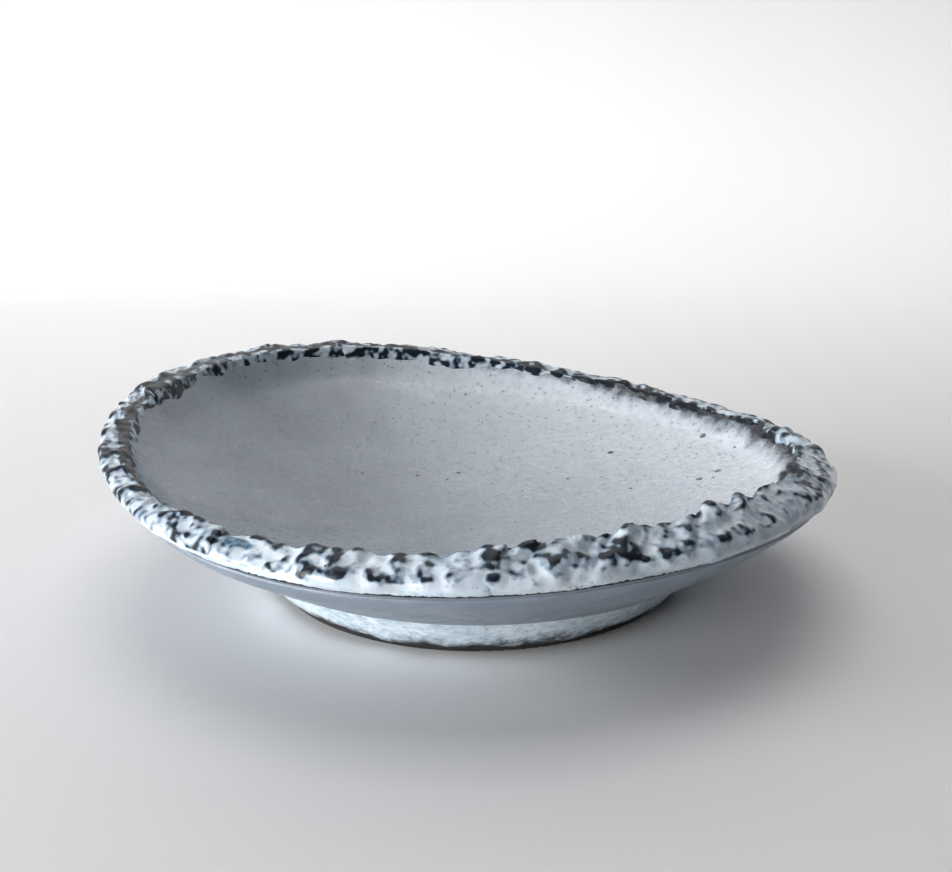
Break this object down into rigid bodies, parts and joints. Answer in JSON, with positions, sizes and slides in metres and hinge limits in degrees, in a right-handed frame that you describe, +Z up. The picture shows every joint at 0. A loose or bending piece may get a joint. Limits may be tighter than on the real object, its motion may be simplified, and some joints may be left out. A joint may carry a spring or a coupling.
{
  "type": "yarn bowl",
  "caption": "Wide, shallow stoneware bowl on a flared foot ring, with a warped rim of torn, lapped clay strips under a pale blue-grey glaze.",
  "frame": {"origin": "on the surface the bowl stands on, under the middle of the whole bowl's box; the wheel's axis, which the foot and the dish are drawn about, stands 2.9 mm from it towards +X", "axes": "+Z up out of the well, -Y towards the side first seen, +X to its right; the rim is highest at the back left (-X, +Y)"},
  "size_m": [0.2504, 0.2506, 0.064],
  "materials": {
    "stoneware": "matt, dark iron-bearing clay, bare at the foot's edge",
    "rim_glaze": "satin glaze, white and blue in hollows, near black on ridges",
    "well_glaze": "satin pale blue-grey glaze with fine dark speckle and a few iron spots",
    "outer_glaze": "satin pale blue-grey glaze, mottled white and blue on the foot"
  },
  "bodies": {
    "root": {"dish": "stoneware", "foot_ring": "stoneware", "rim_strip_1": "rim_glaze", "rim_strip_2": "rim_glaze", "rim_strip_3": "rim_glaze", "rim_strip_4": "rim_glaze", "rim_strip_5": "rim_glaze", "rim_strip_6": "rim_glaze", "rim_strip_7": "rim_glaze", "well_glaze": "well_glaze", "underside_glaze": "outer_glaze", "foot_glaze": "outer_glaze"}
  },
  "joints": []
}
